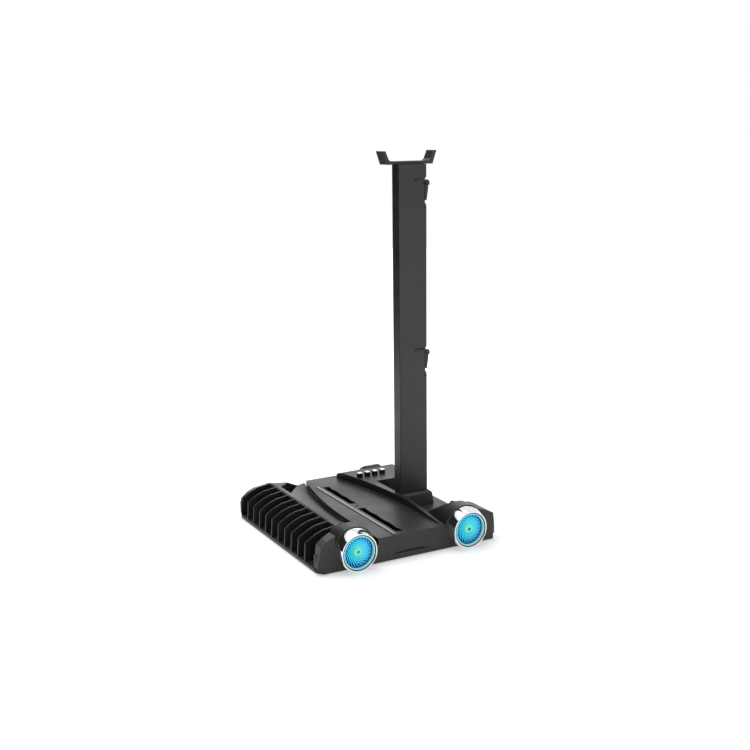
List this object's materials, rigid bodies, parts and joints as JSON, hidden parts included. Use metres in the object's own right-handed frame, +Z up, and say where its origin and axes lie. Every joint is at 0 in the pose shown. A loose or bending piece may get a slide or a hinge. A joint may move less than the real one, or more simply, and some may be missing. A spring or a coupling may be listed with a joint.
{
  "type": "console charging stand",
  "caption": "Black console charging stand: fan base with game rack, console platform and light-ringed nozzles, control buttons, and a tall post with headset hanger and hooks.",
  "frame": {"origin": "bottom centre of the bounding box, on the table under the rubber pads", "axes": "+Z up along the post, +X to the right along the front, +Y to the back; the fan nozzles face -Y"},
  "size_m": [0.217, 0.233, 0.4215],
  "materials": {
    "black_plastic": "fine matte grain",
    "rack_plastic": "smooth matte",
    "grey_plastic": "smooth matte",
    "button_plastic": "glossy",
    "rubber_pad": "matte",
    "chrome_plate": "polished plating",
    "light_ring": "translucent, lit from behind",
    "fan_plastic": "translucent, lit from behind",
    "lamp_board": "smooth",
    "circuit_board": "solder mask",
    "steel": "zinc plated"
  },
  "bodies": {
    "stand": {"top_cover": "black_plastic", "bottom_cover": "black_plastic", "game_rack": "rack_plastic", "guide_strip": "grey_plastic", "pad_front_left": "rubber_pad", "pad_front_right": "rubber_pad", "pad_rear_left": "rubber_pad", "pad_rear_right": "rubber_pad", "post": "black_plastic", "post_collar": "black_plastic", "headset_hanger": "black_plastic", "upper_hook": "black_plastic", "lower_hook": "black_plastic", "nozzle_left": "chrome_plate", "nozzle_right": "chrome_plate", "light_ring_left": "light_ring", "light_ring_right": "light_ring", "led_board_left": "lamp_board", "led_board_right": "lamp_board", "fan_shaft_left": "steel", "fan_shaft_right": "steel", "fan_frame_left": "rack_plastic", "fan_frame_right": "rack_plastic", "main_board": "circuit_board", "button_board": "circuit_board", "port_housing": "black_plastic", "power_socket": "steel", "case_screws": "steel", "post_screws": "steel"},
    "fan_wheel_left": {"fan_left": "fan_plastic"},
    "fan_wheel_right": {"fan_right": "fan_plastic"},
    "key_1": {"button_1": "button_plastic", "button_cap_1": "chrome_plate"},
    "key_2": {"button_2": "button_plastic", "button_cap_2": "chrome_plate"},
    "key_3": {"button_3": "button_plastic", "button_cap_3": "chrome_plate"},
    "key_4": {"button_4": "button_plastic", "button_cap_4": "chrome_plate"}
  },
  "joints": [
    {"name": "fan_left_spin", "type": "hinge", "parent": "stand", "child": "fan_wheel_left", "pos_m": [-0.0677, -0.1098, 0.0218], "axis": [0, -1, 0], "continuous": true},
    {"name": "fan_right_spin", "type": "hinge", "parent": "stand", "child": "fan_wheel_right", "pos_m": [0.0677, -0.1098, 0.0218], "axis": [0, -1, 0], "continuous": true},
    {"name": "button_1_press", "type": "slide", "parent": "stand", "child": "key_1", "axis": [0, 0, -1], "range_m": [0, 0.0012], "stiffness_N_per_m": 150},
    {"name": "button_2_press", "type": "slide", "parent": "stand", "child": "key_2", "axis": [0, 0, -1], "range_m": [0, 0.0012], "stiffness_N_per_m": 150},
    {"name": "button_3_press", "type": "slide", "parent": "stand", "child": "key_3", "axis": [0, 0, -1], "range_m": [0, 0.0012], "stiffness_N_per_m": 150},
    {"name": "button_4_press", "type": "slide", "parent": "stand", "child": "key_4", "axis": [0, 0, -1], "range_m": [0, 0.0012], "stiffness_N_per_m": 150}
  ]
}
